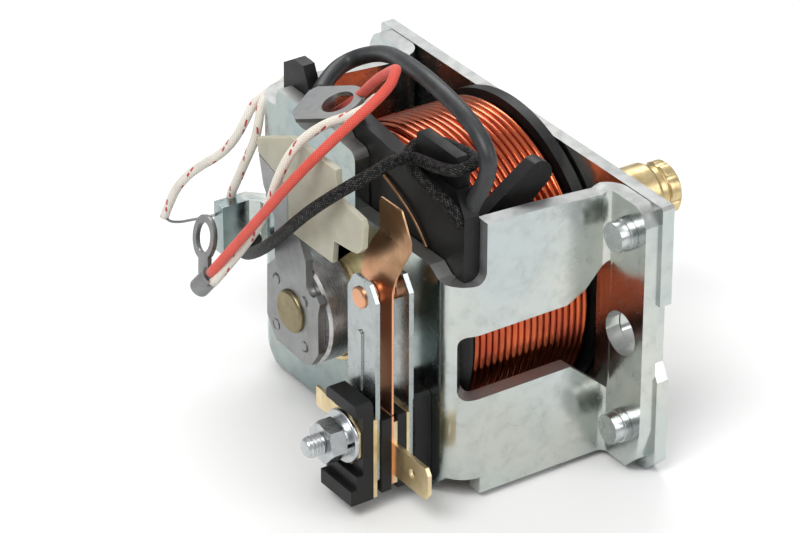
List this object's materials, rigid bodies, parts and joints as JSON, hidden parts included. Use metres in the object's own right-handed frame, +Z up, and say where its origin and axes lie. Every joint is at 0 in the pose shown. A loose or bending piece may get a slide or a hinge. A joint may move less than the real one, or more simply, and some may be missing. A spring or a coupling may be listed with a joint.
{
  "type": "starter solenoid",
  "caption": "Open-frame pull solenoid on a mounting plate, with plunger, brass push rod, side contact stack and flying leads.",
  "frame": {"origin": "where the coil and push rod axis crosses the outer face of the mounting plate", "axes": "+X along the coil axis, out of the mounting plate in the direction the push rod is driven; +Y away from the contact stack, across the plate; +Z up, towards the leads"},
  "size_m": [0.0936, 0.0901, 0.0769],
  "materials": {
    "zinc_steel": "bright zinc plated, glossy",
    "fastener_steel": "zinc plated, slightly worn",
    "pole_steel": "turned, bright",
    "spring_steel": "drawn wire",
    "rod_brass": "turned, satin",
    "copper": "rolled, satin",
    "coil_copper": "clear red-brown enamel, glossy",
    "terminal_brass": "rolled, dull",
    "black_moulding": "moulded, satin",
    "nylon": "translucent natural nylon",
    "lead_black": "smooth, semi-matt",
    "sleeve_braid": "fine woven sleeve",
    "lead_red": "smooth",
    "lead_white": "smooth with a red tracer",
    "tinned": "tinned, dull"
  },
  "bodies": {
    "frame": {"mounting_plate": "zinc_steel", "yoke_frame": "zinc_steel", "left_fixed_contact": "zinc_steel", "right_fixed_contact": "zinc_steel", "side_bracket": "zinc_steel", "flange_rivets": "fastener_steel", "stud": "fastener_steel", "flat_washer": "fastener_steel", "spring_washer": "fastener_steel", "hex_nut": "fastener_steel", "fixed_core": "pole_steel", "return_spring": "spring_steel", "guide_tube": "rod_brass", "blade_foot": "copper", "left_contact_rivet": "copper", "right_contact_rivet": "copper", "outer_winding": "coil_copper", "inner_winding": "coil_copper", "coil_tail": "coil_copper", "inner_terminal_strip": "terminal_brass", "outer_terminal_strip": "terminal_brass", "blade_terminal": "terminal_brass", "tongue_terminal": "terminal_brass", "bobbin": "black_moulding", "base_insulator": "black_moulding", "spacer_a": "black_moulding", "spacer_b": "black_moulding", "clamp_block": "black_moulding", "main_lead": "lead_black", "sleeve_lead": "sleeve_braid", "red_lead": "lead_red", "white_lead_a": "lead_white", "white_lead_b": "lead_white", "white_lead_c": "lead_white", "main_ring_terminal": "tinned", "small_ring_terminal": "tinned", "lead_wire": "tinned"},
    "armature": {"plunger": "pole_steel", "armature_plate": "zinc_steel", "staking_pins": "fastener_steel", "push_rod": "rod_brass", "nylon_actuator": "nylon"},
    "blade": {"contact_blade": "copper", "blade_contacts": "copper"}
  },
  "joints": [
    {"name": "plunger_slide", "type": "slide", "parent": "frame", "child": "armature", "axis": [1, 0, 0], "range_m": [0, 0.005], "stiffness_N_per_m": 700, "springref_m": -0.01, "deforming": ["return_spring"]},
    {"name": "blade_flex", "type": "hinge", "parent": "frame", "child": "blade", "pos_m": [-0.0456, -0.0213, -0.01015], "axis": [0, 1, 0], "range_deg": [0, 2.4]}
  ],
  "couplings": [
    {"joint": "blade_flex", "follows": "plunger_slide", "rad_per_m": 8.2}
  ]
}
